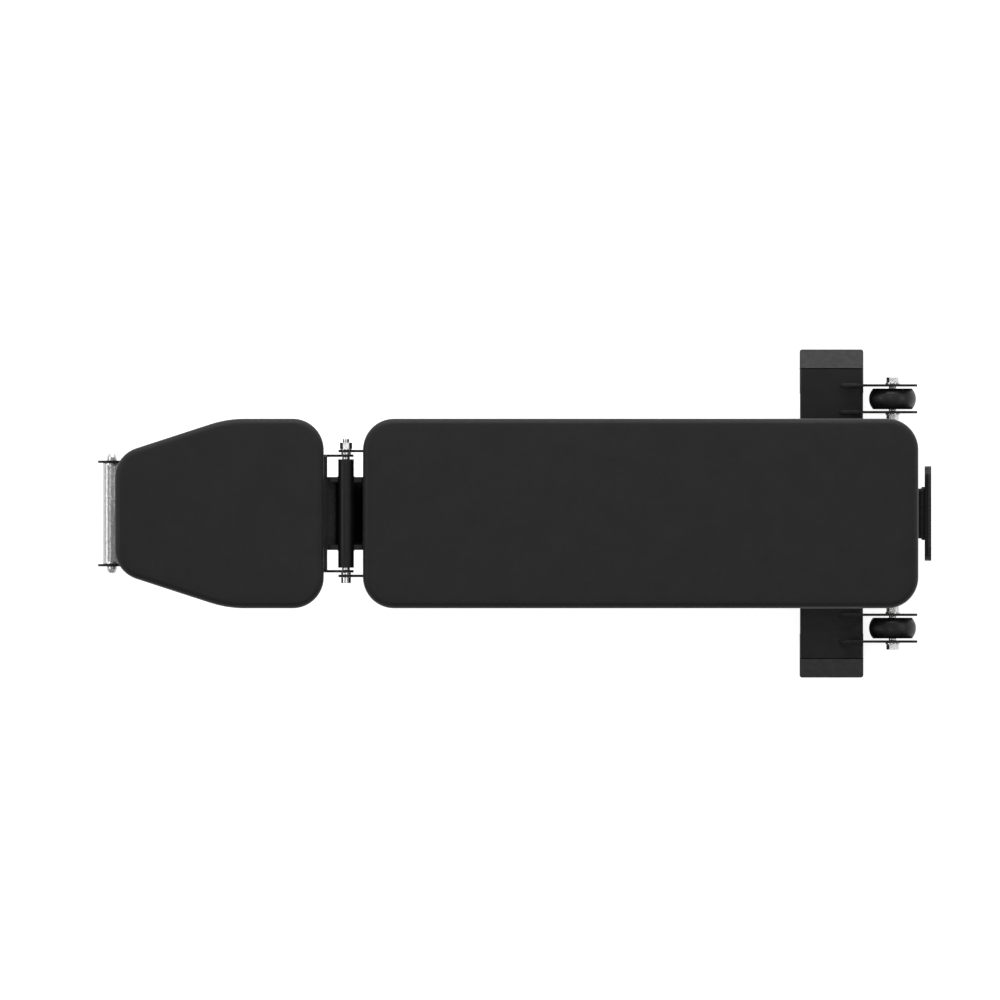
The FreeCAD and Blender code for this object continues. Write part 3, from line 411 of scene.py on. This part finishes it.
def cover_profile(height):
    """(inset, height) from the fold on the underside, up the side, to the top."""
    points = [(FOLD, FOLD_INSIDE), (FOLD, FOLD_EDGE / 2), (FOLD - FOLD_EDGE, -FOLD_EDGE)]
    points += [(FOLD * 0.7, -FOLD_SAG), (FOLD * 0.35, -DROP)]
    points += list(arc((FOOT, FOOT - DROP), FOOT, 270, 180, 4))
    low, high = points[-1][1], height - RIM
    for share in (0.1, 0.25, 0.4, 0.55, 0.7, 0.85):
        inset = WAIST * math.sin(math.pi * share) ** 2
        points.append((inset, low + (high - low) * share))
    points += list(arc((RIM, high), RIM, 180, 90, 7))
    return points


def pad_mesh(node, height, profile, crown, shrink=0.0, pleats=0.0):
    """A closed pad lofted round the CAD outline, with a crowned top.

    Each pair of the profile is an inset from the outline and a height over the node's
    underside. Pleats tuck the side in where the outline turns, most near the underside.
    """
    low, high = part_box(node)
    points = pad_outline(node)
    normals, turning = outline_facts(points)
    count = len(points)
    half = (high.y - low.y) / 2
    spine_start, spine_end = low.x + half * SPINE_INSET, high.x - half
    rings = []
    for inset, level in profile:
        ring = []
        for i, (point, normal) in enumerate(zip(points, normals)):
            wave = 0.5 + 0.5 * math.sin(i * OUTLINE_STEP / PLEAT_PITCH * math.pi)
            slack = (1 - min(max(level / height, 0), 1)) ** 2 if level > 0 else 0
            tuck = pleats * wave * turning[i] * slack
            spot = point - normal * (inset + shrink + tuck)
            ring.append(Vector((spot.x, spot.y, low.z + level)))
        rings.append(ring)
    top_rim = rings[-1]
    middles = [Vector((min(max(p.x, spine_start), spine_end), 0, p.z)) for p in top_rim]
    for step in range(1, TOP_RINGS + 1):
        share = step / TOP_RINGS
        rise = crown * (1 - (1 - share) ** 2)
        ring = []
        for point, middle in zip(top_rim, middles):
            spot = point.lerp(middle, share * MIDDLE_SHARE)
            ripple = noise.noise(spot * RIPPLE_SCALE) * RIPPLE_HEIGHT * min(1, share * 3)
            ring.append(spot + Vector((0, 0, rise + ripple)))
        rings.append(ring)
    # The underside closes on a smaller ring and one face, hidden by the fold or the board.
    floor_ring = [
        Vector((p.x * 0.4 + middle.x * 0.6, p.y * 0.4, p.z))
        for p, middle in zip(rings[0], middles)
    ]
    rings.insert(0, floor_ring)
    vertices = [spot for ring in rings for spot in ring]
    faces = ring_faces(len(rings), count)
    faces.append(tuple(range(count)))
    # The top closes across the middle line, with a triangle at each end.
    last = (len(rings) - 1) * count
    far = last + count // 2
    faces += [
        (last + i, last + i + 1, last + count - i - 1, last + (count - i) % count)
        for i in range(1, count // 2 - 1)
    ]
    faces.append((last, last + 1, last + count - 1))
    faces.append((far - 1, far, far + 1))
    return vertices, faces


def cushion(name, body):
    """The sewn vinyl of one pad, folded under its board."""
    node = f"{name}_cover"
    low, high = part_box(node)
    height = high.z - low.z
    shape = pad_mesh(node, height, cover_profile(height), CROWN, pleats=PLEAT_DEPTH)
    piece = add_piece(f"{name}_cushion", body, "vinyl", *shape)
    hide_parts(node)


def foam_block(name, body):
    """The foam under the vinyl, a plain moulded block with a rounded top edge."""
    node = f"{name}_foam"
    low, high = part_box(node)
    height = high.z - low.z
    profile = [(0, 0), (0, height * 0.3), (0, height * 0.6)]
    profile += list(arc((FOAM_RIM, height - FOAM_RIM), FOAM_RIM, 180, 90, 5))
    shape = pad_mesh(node, height, profile, FOAM_CROWN, shrink=FOAM_GAP)
    piece = add_piece(f"{name}_foam_block", body, "foam", *shape)
    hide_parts(node)


def staples(name, body):
    """The staples that hold the folded vinyl to the board's underside."""
    points = pad_outline(f"{name}_cover")
    normals, _ = outline_facts(points)
    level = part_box(f"{name}_cover")[0].z
    parts = []
    box_faces = [
        (0, 1, 3, 2), (4, 6, 7, 5), (0, 4, 5, 1), (2, 3, 7, 6), (0, 2, 6, 4), (1, 5, 7, 3)
    ]
    for i in range(STAPLE_EVERY // 2, len(points), STAPLE_EVERY):
        middle = points[i] - normals[i] * STAPLE_INSET
        along = Vector((-normals[i].y, normals[i].x))
        corners = []
        for a, b, c in itertools.product((-1, 1), (-1, 1), (0, 1)):
            flat = middle + along * a * STAPLE_HALF.x + normals[i] * b * STAPLE_HALF.y
            below = level - STAPLE_TOP - c * STAPLE_HEIGHT
            corners.append(Vector((flat.x, flat.y, below)))
        parts.append((corners, box_faces))
    add_piece(f"{name}_staples", body, "zinc", *merge(parts), smooth=False)


for pad in ("seat", "back"):
    cushion(pad, pad)
    foam_block(pad, pad)
    staples(pad, pad)


# ---------------------------------------------------------------------------------------
# Knurled handle

KNURL_PITCH = 2.4 * MM
KNURL_DEPTH = 0.24 * MM
PLAIN_END = 4 * MM
BAR_WALL = 2.5 * MM
BAR_CHAMFER = 0.6 * MM
# Points round the bar for each groove of the knurl.
KNURL_POINTS = 4


def knurled_bar():
    """The handle tube with a cut diamond knurl between two plain ends."""
    low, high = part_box("handle_bar")
    centre = (low + high) / 2
    radius = (high.z - low.z) / 2
    half = (high.y - low.y) / 2
    around = round(math.tau * radius / KNURL_PITCH) * KNURL_POINTS
    step = math.tau * radius / around
    knurl_half = half - PLAIN_END
    rows = 2 * round(knurl_half / step)
    vertices = []

    def add_ring(along, depths):
        for i, depth in enumerate(depths):
            angle = math.tau * i / around
            r = radius - depth
            spot = Vector((r * math.cos(angle), along, r * math.sin(angle)))
            vertices.append(centre + spot)

    def diamond(i, row):
        """How deep the crossing grooves cut at one point: nothing on a diamond's peak."""
        middle = KNURL_POINTS // 2
        rising, falling = (i + row) % KNURL_POINTS, (i - row) % KNURL_POINTS
        peak = middle - max(abs(rising - middle), abs(falling - middle))
        return KNURL_DEPTH * (1 - peak / middle)

    add_ring(-half, [BAR_WALL] * around)
    add_ring(-half, [BAR_CHAMFER] * around)
    add_ring(-half + BAR_CHAMFER, [0.0] * around)
    for row in range(rows + 1):
        along = -knurl_half + 2 * knurl_half * row / rows
        add_ring(along, [diamond(i, row) for i in range(around)])
    add_ring(half - BAR_CHAMFER, [0.0] * around)
    add_ring(half, [BAR_CHAMFER] * around)
    add_ring(half, [BAR_WALL] * around)
    rings = len(vertices) // around
    faces = ring_faces(rings, around)
    for i in range(around):
        j = (i + 1) % around
        last = (rings - 1) * around
        faces.append((j, i, last + i, last + j))
    piece = add_piece("knurled_handle", "frame", "knurled_steel", vertices, faces, smooth=False)
    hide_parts("handle_bar")


knurled_bar()


# ---------------------------------------------------------------------------------------
# Weld beads

BEAD_STEP = 1.3 * MM
BEAD_SIDES = 8
RIPPLE = 3.2 * MM
# How much a bead swells over each ripple and wanders between them, and how it tapers.
RIPPLE_SWELL = 0.14
WANDER = 0.10
WANDER_SCALE = 160
TAPER_START = 0.35
TAPER_STEP = 0.3

# Bead radii.
PLATE_BEAD = 3.9 * MM
FOOT_BEAD = 2.6 * MM
POST_BEAD = 2.4 * MM
SADDLE_BEAD = 1.7 * MM
WEB_BEAD = 1.6 * MM
STITCH_BEAD = 2.4 * MM
BRACKET_BEAD = 0.8 * MM
BRACKET_TIP_BEAD = 2.2 * MM
HANDLE_PLATE_BEAD = 1.8 * MM

STITCH = 42 * MM
STITCH_PITCH = 88 * MM
BRACKET_WALL = 4 * MM


def bead(path, radius, closed=False):
    """A rippled weld bead along a list of points."""
    ends = path[1:] + path[:1] if closed else path[1:]
    centres, ways = [], []
    for a, b in zip(path, ends):
        count = max(2, round((b - a).length / BEAD_STEP))
        for i in range(count):
            centres.append(a.lerp(b, i / count))
            ways.append((b - a).normalized())
    if not closed:
        centres.append(path[-1])
        ways.append(ways[-1])
    vertices = []
    total = len(centres)
    for n, (centre, way) in enumerate(zip(centres, ways)):
        along = n * BEAD_STEP / RIPPLE
        scale = 1 + RIPPLE_SWELL * (along % 1 - 0.5)
        scale *= 1 + WANDER * noise.noise(centre * WANDER_SCALE)
        if not closed:
            scale *= min(1, TAPER_START + min(n, total - 1 - n) * TAPER_STEP)
        side = way.orthogonal().normalized()
        up = way.cross(side)
        for i in range(BEAD_SIDES):
            angle = math.tau * i / BEAD_SIDES
            push = (side * math.cos(angle) + up * math.sin(angle)) * radius * scale
            vertices.append(centre + push)
    faces = ring_faces(total, BEAD_SIDES)
    last = (total - 1) * BEAD_SIDES
    if closed:
        faces += [
            (last + i, last + (i + 1) % BEAD_SIDES, (i + 1) % BEAD_SIDES, i)
            for i in range(BEAD_SIDES)
        ]
    else:
        faces.append(tuple(range(BEAD_SIDES)))
        faces.append(tuple(last + i for i in range(BEAD_SIDES)))
    return vertices, faces


def half_ring(centre, radius, count=24):
    """The lower half of a circle about Y, a little short of level at both ends."""
    angles = [math.radians(190 + 160 * i / count) for i in range(count + 1)]
    return [centre + Vector((radius * math.cos(a), 0, radius * math.sin(a))) for a in angles]


def loop_x(x, low, high):
    """A rectangle across the bench at one x."""
    return [
        Vector((x, low.y, low.z)),
        Vector((x, high.y, low.z)),
        Vector((x, high.y, high.z)),
        Vector((x, low.y, high.z)),
    ]


def loop_z(z, low, high):
    """A level rectangle at one z."""
    return [
        Vector((low.x, low.y, z)),
        Vector((high.x, low.y, z)),
        Vector((high.x, high.y, z)),
        Vector((low.x, high.y, z)),
    ]


def line_x(x_low, x_high, y, z):
    """A run along the bench at one y and z."""
    return [Vector((x_low, y, z)), Vector((x_high, y, z))]


spine_low, spine_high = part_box("spine_tube")


def rear_plate_welds():
    """The rear plate is welded to the spine all round."""
    sunk = 1.2 * MM
    standoff = 2.2 * MM
    inset = Vector((0, sunk, sunk))
    ring = loop_x(spine_high.x - standoff, spine_low + inset, spine_high - inset)
    yield bead(ring, PLATE_BEAD, closed=True)


def foot_welds():
    """The spine lies on both feet, with a run along each of its sides."""
    margin = 4 * MM
    for foot in ("front_foot_tube", "rear_foot_tube"):
        low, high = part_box(foot)
        start = max(low.x, spine_low.x) + margin
        for y in (spine_low.y, spine_high.y):
            yield bead(line_x(start, high.x - margin, y, high.z), FOOT_BEAD)


def post_welds():
    """The post stands on its base plate, which lies on the spine."""
    margin = 3 * MM
    below = 0.6 * MM
    above = 0.4 * MM
    base_low, base_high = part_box("post_base_plate")
    for y in (spine_low.y, spine_high.y):
        run = line_x(base_low.x + margin, base_high.x - margin, y, base_low.z - below)
        yield bead(run, POST_BEAD)
    post_low, post_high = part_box("front_post")
    ledge = base_high.y - post_high.y
    inset = Vector((ledge, ledge))
    ring = loop_z(post_low.z + above, base_low.xy + inset, base_high.xy - inset)
    yield bead(ring, POST_BEAD, closed=True)


def saddle_welds():
    """The pivot tube lies in the cheeks' saddles, welded under each side of the plate."""
    proud = 0.2 * MM
    low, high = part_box("pivot_tube")
    axis = (low + high) / 2
    radius = (high.z - low.z) / 2 + proud
    for name in ("right_post_cheek", "left_post_cheek"):
        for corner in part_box(name):
            seam = half_ring(Vector((axis.x, corner.y, axis.z)), radius)
            yield bead(seam, SADDLE_BEAD)


def web_welds():
    """The web between the cheeks is welded to their inner faces."""
    sunk = 1 * MM
    start = 24 * MM
    rise = 4.5 * MM
    low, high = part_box("post_web")
    tube_low, tube_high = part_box("pivot_tube")
    end = (tube_low.x + tube_high.x) / 2
    for y in (low.y + sunk, high.y - sunk):
        yield bead(line_x(low.x + start, end, y, low.z + rise), WEB_BEAD)


def ladder_welds():
    """The ladders are stitch-welded to the spine along their lower edges."""
    proud = 1.2 * MM
    below = 0.6 * MM
    first = 12 * MM
    for name, y in (
        ("right_back_ladder", spine_high.y + proud),
        ("left_back_ladder", spine_low.y - proud),
    ):
        low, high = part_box(name)
        x = low.x + first
        while x + STITCH < high.x:
            yield bead(line_x(x, x + STITCH, y, low.z - below), STITCH_BEAD)
            x += STITCH_PITCH


def bracket_welds():
    """Each wheel bracket plate is welded along the top of the rear foot and at its tip."""
    start = 1 * MM
    stop = 5 * MM
    tip = 2 * MM
    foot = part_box("rear_foot_tube")[1]
    for name in ("right_wheel_bracket", "left_wheel_bracket"):
        low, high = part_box(name)
        for y in (low.y, low.y + BRACKET_WALL, high.y - BRACKET_WALL, high.y):
            yield bead(line_x(low.x + start, foot.x - stop, y, foot.z), BRACKET_BEAD)
        for y in (low.y + BRACKET_WALL / 2, high.y - BRACKET_WALL / 2):
            yield bead(line_x(low.x - tip, low.x, y, foot.z), BRACKET_TIP_BEAD)


def handle_plate_welds():
    """The handle plates close the front foot's ends."""
    margin = 6 * MM
    sunk = 1.2 * MM
    low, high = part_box("front_foot_tube")
    for y in (low.y, high.y):
        run = line_x(low.x + margin, high.x - margin, y, high.z - sunk)
        yield bead(run, HANDLE_PLATE_BEAD)


weld_groups = (
    rear_plate_welds(),
    foot_welds(),
    post_welds(),
    saddle_welds(),
    web_welds(),
    ladder_welds(),
    bracket_welds(),
    handle_plate_welds(),
)
weld_mesh = merge(itertools.chain.from_iterable(weld_groups))
# The beads' paint is lighter than the tubes': a painted highlight.
add_piece("weld_beads", "frame", "frame_paint", *weld_mesh, finish=weld_coat_painted_highlight())


# ---------------------------------------------------------------------------------------
# Painted shade in the seams of the rubber caps

SEAM_RADIUS = 0.75 * MM
TUBE_CORNER = 5 * MM


def cap_seams_painted_shade():
    """A thin near-black line, painted shade for the gap where each rubber cap meets the rear foot
    tube.
    """
    low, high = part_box("rear_foot_tube")
    left, right = low.x + TUBE_CORNER, high.x - TUBE_CORNER
    bottom, top = low.z + TUBE_CORNER, high.z - TUBE_CORNER
    corners = (((right, top), 0), ((left, top), 90), ((left, bottom), 180), ((right, bottom), 270))
    seams = []
    for y in (low.y, high.y):
        path = []
        for centre, start in corners:
            for x, z in arc(centre, TUBE_CORNER, start, start + 90, 4):
                path.append(Vector((x, y, z)))
        seams.append(bead(path, SEAM_RADIUS, closed=True))
    # The line's near-black colour is painted shade.
    shade = Look("seam_painted_shade", grey(0.002), 0.9, specular=0.05).material
    add_piece("cap_seams_painted_shade", "frame", "foot_rubber", *merge(seams), finish=shade)


cap_seams_painted_shade()


# ---------------------------------------------------------------------------------------
# Thread on the pivot bolt's free end

THREAD_PITCH = 1.5 * MM
THREAD_DEPTH = 0.7 * MM
THREAD_PROUD = 0.25 * MM
BOLT_RADIUS = 5 * MM
TURN_POINTS = 32
# The flanks at both sides of the crest: (share of the pitch, depth).
THREAD_PROFILE = ((0.0, THREAD_DEPTH), (0.5, 0.0), (1.0, THREAD_DEPTH))
# How much of the last turn's pitch is left where the thread runs out.
RUN_OUT = 0.2


def bolt_thread():
    """A helical thread from the pivot nut to the end of the bolt."""
    tube_low, tube_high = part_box("pivot_tube")
    axis = (tube_low + tube_high) / 2
    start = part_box("pivot_nut")[1].y
    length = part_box("pivot_bolt")[1].y - THREAD_PITCH - start
    count = round(length / THREAD_PITCH * TURN_POINTS)
    vertices = []
    for n in range(count + 1):
        angle = math.tau * n / TURN_POINTS
        for share, depth in THREAD_PROFILE:
            along = THREAD_PITCH * (n / TURN_POINTS + share)
            along = min(along, length + THREAD_PITCH * share * RUN_OUT)
            r = BOLT_RADIUS + THREAD_PROUD - depth
            spot = (axis.x + r * math.cos(angle), start + along, axis.z + r * math.sin(angle))
            vertices.append(Vector(spot))
    faces = ring_faces(count + 1, len(THREAD_PROFILE), closed=False)
    add_piece("bolt_threads", "frame", "zinc", vertices, faces)


bolt_thread()


# ---------------------------------------------------------------------------------------
# Studio: a plain pale floor, soft light mostly from the bench's right side, and a camera
# that looks straight down, with the bench a little right of and below the middle.

VIEW_WIDTH = 1.61
VIEW_CENTRE = (-0.0235, 0.0217)
CAMERA_HEIGHT = 3.0
FLOOR_SIZE = 60.0
FLOOR_GREY = 0.5
FLOOR_GLOW = 0.86
LAMP_TARGET = Vector((0, 0, 0.3))


def floor():
    """A plain matt floor that glows, so that it stays nearly white under the bench."""
    half = FLOOR_SIZE / 2
    mesh = bpy.data.meshes.new("floor")
    corners = [(-half, -half, 0), (half, -half, 0), (half, half, 0), (-half, half, 0)]
    mesh.from_pydata(corners, [], [(0, 1, 2, 3)])
    material = bpy.data.materials.new("floor_pale")
    material.use_nodes = True
    shader = material.node_tree.nodes["Principled BSDF"]
    shader.inputs["Base Color"].default_value = (FLOOR_GREY, FLOOR_GREY, FLOOR_GREY, 1)
    shader.inputs["Roughness"].default_value = 1.0
    shader.inputs["Specular IOR Level"].default_value = 0.0
    shader.inputs["Emission Color"].default_value = (1, 1, 1, 1)
    shader.inputs["Emission Strength"].default_value = FLOOR_GLOW
    mesh.materials.append(material)
    plane = bpy.data.objects.new("floor", mesh)
    scene.collection.objects.link(plane)


def soft_light(name, position, size, power):
    """A rectangular lamp that faces the bench."""
    data = bpy.data.lights.new(name, "AREA")
    data.shape = "RECTANGLE"
    data.size, data.size_y = size
    data.energy = power
    lamp = bpy.data.objects.new(name, data)
    lamp.location = position
    way = LAMP_TARGET - Vector(position)
    lamp.rotation_euler = way.to_track_quat("-Z", "Y").to_euler()
    scene.collection.objects.link(lamp)


def world_light(strength, dark_side, bright_side):
    """Even light, dimmer from the bench's left (-Y) and brighter from its right (+Y)."""
    world = bpy.data.worlds.new("studio")
    world.use_nodes = True
    tree = world.node_tree
    background = tree.nodes["Background"]
    background.inputs["Strength"].default_value = strength
    place = tree.nodes.new("ShaderNodeTexCoord")
    axes = tree.nodes.new("ShaderNodeSeparateXYZ")
    spread = tree.nodes.new("ShaderNodeMapRange")
    spread.inputs["From Min"].default_value = -1.0
    spread.inputs["From Max"].default_value = 1.0
    spread.inputs["To Min"].default_value = dark_side
    spread.inputs["To Max"].default_value = bright_side
    tree.links.new(place.outputs["Generated"], axes.inputs["Vector"])
    tree.links.new(axes.outputs["Y"], spread.inputs["Value"])
    tree.links.new(spread.outputs["Result"], background.inputs["Color"])
    scene.world = world


def overhead_camera():
    """An orthographic camera that looks straight down."""
    data = bpy.data.cameras.new("camera")
    data.type = "ORTHO"
    data.ortho_scale = VIEW_WIDTH
    data.dof.use_dof = False
    camera = bpy.data.objects.new("camera", data)
    camera.location = (*VIEW_CENTRE, CAMERA_HEIGHT)
    scene.collection.objects.link(camera)
    scene.camera = camera


floor()
world_light(1.0, 0.30, 0.80)
soft_light("overhead", (0.1, 0.0, 3.6), (2.4, 0.7), 16)
soft_light("key_right", (0.0, 3.2, 1.6), (3.6, 1.4), 90)
soft_light("seat_end", (-3.0, 0.4, 2.2), (2.0, 0.8), 30)
soft_light("wheel_end", (3.0, 0.4, 2.2), (2.0, 0.8), 18)
overhead_camera()
scene.view_settings.view_transform = "Standard"
